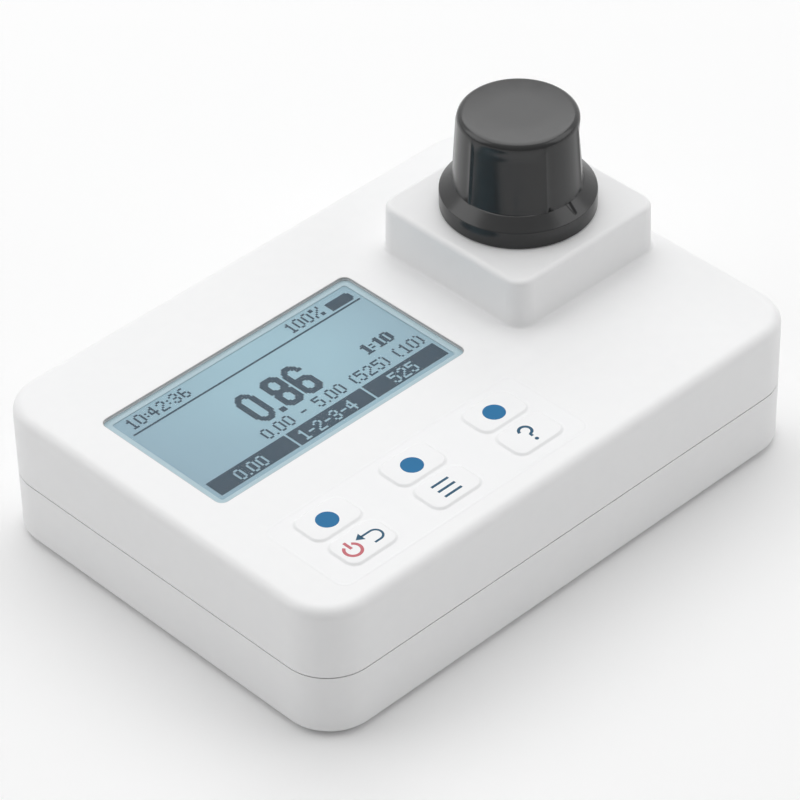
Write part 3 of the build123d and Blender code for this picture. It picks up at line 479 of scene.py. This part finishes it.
dx, dy = -0.36, -0.38
for body, x in (("left_soft_key", -48.1), ("middle_soft_key", -23.95), ("right_soft_key", 0.15)):
    sign(body + "_dot", [circle(x + dx, -27.75 + dy, 2.5)], blue_print, body)
sign("menu_bars", [stroked([(-26.3 + dx, y + dy), (-21.5 + dx, y + dy)], 0.62) for y in (-35.8, -37.8, -39.8)],
     slate_print, "menu_key")
sign("power_sign", [stroked(arc(-50.85 + dx, -38.2 + dy, 1.88, 122, 418), 0.72),
                    stroked([(-50.85 + dx, -37.8 + dy), (-50.85 + dx, -35.4 + dy)], 0.72)], red_print, "power_key")
sign("back_arrow", [stroked([(-47.0 + dx, -36.5 + dy), (-44.5 + dx, -36.5 + dy)]
                            + arc(-44.5 + dx, -38.1 + dy, 1.6, 90, -90, 24) + [(-46.1 + dx, -39.7 + dy)], 0.52),
                    [(-48.5 + dx, -36.5 + dy), (-46.8 + dx, -37.65 + dy), (-46.8 + dx, -35.35 + dy)]],
     slate_print, "power_key")
sign("help_hook", [stroked(arc(0.3 + dx, -36.7 + dy, 1.4, 170, -60, 36) + [(0.35 + dx, -38.15 + dy), (0.3 + dx, -38.9 + dy)],
                           0.68), circle(0.3 + dx, -40.1 + dy, 0.46, 24)], slate_print, "help_key")

# Camera at the photograph's angle
roll = math.radians(-1.251)
side = Vector((0.72470, -0.68907, 0.0))
top = Vector((0.43512, 0.45762, 0.77542))
back = Vector((-0.53431, -0.56194, 0.63146))
cam_x = side * math.cos(roll) + top * math.sin(roll)
cam_y = top * math.cos(roll) - side * math.sin(roll)
camera = bpy.data.objects.new("camera", bpy.data.cameras.new("camera"))
camera.data.lens = 183.63
camera.data.sensor_width = 36.0
camera.matrix_world = (Matrix.Translation(Vector((-0.46987, -0.49356, 0.57638)))
                       @ Matrix((cam_x, cam_y, back)).transposed().to_4x4())
scene.collection.objects.link(camera)
scene.camera = camera

# Floor that shows white to the camera and keeps the shadow
floor_mesh = bpy.data.meshes.new("floor")
floor_mesh.from_pydata([(-4, -4, 0), (4, -4, 0), (4, 4, 0), (-4, 4, 0)], [], [(0, 1, 2, 3)])
floor = bpy.data.objects.new("floor", floor_mesh)
scene.collection.objects.link(floor)
material, tree, shader, add = tree_of("studio_floor")
place = add("ShaderNodeTexCoord")
mottle = add("ShaderNodeTexNoise", {"Vector": place.outputs["Object"], "Scale": 3.0, "Detail": 2.0})
tone = add("ShaderNodeMix", {0: mottle.outputs["Fac"], 6: rgb((0.975, 0.975, 0.975)), 7: rgb((0.985, 0.985, 0.985))},
           data_type="RGBA")
bounce = add("ShaderNodeMix", {0: mottle.outputs["Fac"], 6: rgb((0.88, 0.88, 0.88)), 7: rgb((0.90, 0.90, 0.90))},
             data_type="RGBA")
path = add("ShaderNodeLightPath")
seen = add("ShaderNodeMath", {0: path.outputs["Is Camera Ray"], 1: path.outputs["Is Transmission Ray"]},
           operation="MAXIMUM")
pick = add("ShaderNodeMix", {0: seen.outputs[0], 6: bounce.outputs[2], 7: tone.outputs[2]}, data_type="RGBA")
tree.links.new(pick.outputs[2], shader.inputs["Base Color"])
shader.inputs["Roughness"].default_value = 0.9
shader.inputs["Specular IOR Level"].default_value = 0.0
floor_mesh.materials.append(material)

# World: white behind the object, to the camera and in reflections, and soft ambient light elsewhere
world = bpy.data.worlds.new("studio")
scene.world = world
world.use_nodes = True
links = world.node_tree.links


def sky_node(kind, **settings):
    node = world.node_tree.nodes.new(kind)
    for key, value in settings.items():
        setattr(node, key, value)
    return node


def sky_math(operation, a, b):
    node = sky_node("ShaderNodeMath", operation=operation)
    for socket, value in zip(node.inputs, (a, b)):
        if isinstance(value, bpy.types.NodeSocket):
            links.new(value, socket)
        else:
            socket.default_value = value
    return node.outputs[0]


ambient, front_shine = 0.37, 0.4
rays = sky_node("ShaderNodeLightPath")
where = sky_node("ShaderNodeTexCoord")
away = sky_node("ShaderNodeVectorMath", operation="DOT_PRODUCT")
links.new(where.outputs["Generated"], away.inputs[0])
away.inputs[1].default_value = (0.55, 0.58, 0.60)
shine = sky_node("ShaderNodeMapRange")
links.new(away.outputs["Value"], shine.inputs["Value"])
shine.inputs["From Min"].default_value = -0.3
shine.inputs["From Max"].default_value = 0.9
shine.inputs["To Min"].default_value = front_shine
shine.inputs["To Max"].default_value = 1.0
straight = sky_math("MAXIMUM", rays.outputs["Is Camera Ray"], rays.outputs["Is Transmission Ray"])
mirrored = sky_math("MULTIPLY", rays.outputs["Is Glossy Ray"], sky_math("SUBTRACT", 1.0, straight))
rest = sky_math("SUBTRACT", sky_math("SUBTRACT", 1.0, straight), mirrored)
strength = sky_math("ADD", straight, sky_math("ADD", sky_math("MULTIPLY", mirrored, shine.outputs[0]),
                                              sky_math("MULTIPLY", rest, ambient)))
background = world.node_tree.nodes["Background"]
background.inputs["Color"].default_value = (1, 1, 1, 1)
links.new(strength, background.inputs["Strength"])


def softbox(name, place, aim, size, radiance):
    """Flat lamp of that brightness, turned to the aim."""
    light = bpy.data.lights.new(name, "AREA")
    light.shape = "RECTANGLE"
    light.size, light.size_y = size
    light.energy = radiance * math.pi * size[0] * size[1]
    lamp = bpy.data.objects.new(name, light)
    lamp.location = place
    lamp.rotation_mode = "QUATERNION"
    lamp.rotation_quaternion = (Vector(place) - Vector(aim)).to_track_quat("Z", "Y")
    scene.collection.objects.link(lamp)


softbox("back_softbox", (0.56, 0.60, 1.70), (0, 0, 0.03), (2.2, 2.1), 1.6)
softbox("left_softbox", (-0.95, 1.0, 0.95), (0, 0, 0.03), (1.2, 1.2), 1.25)
softbox("right_softbox", (1.0, -0.95, 0.95), (0, 0, 0.03), (1.2, 1.2), 1.0)

scene.view_settings.view_transform = "Standard"
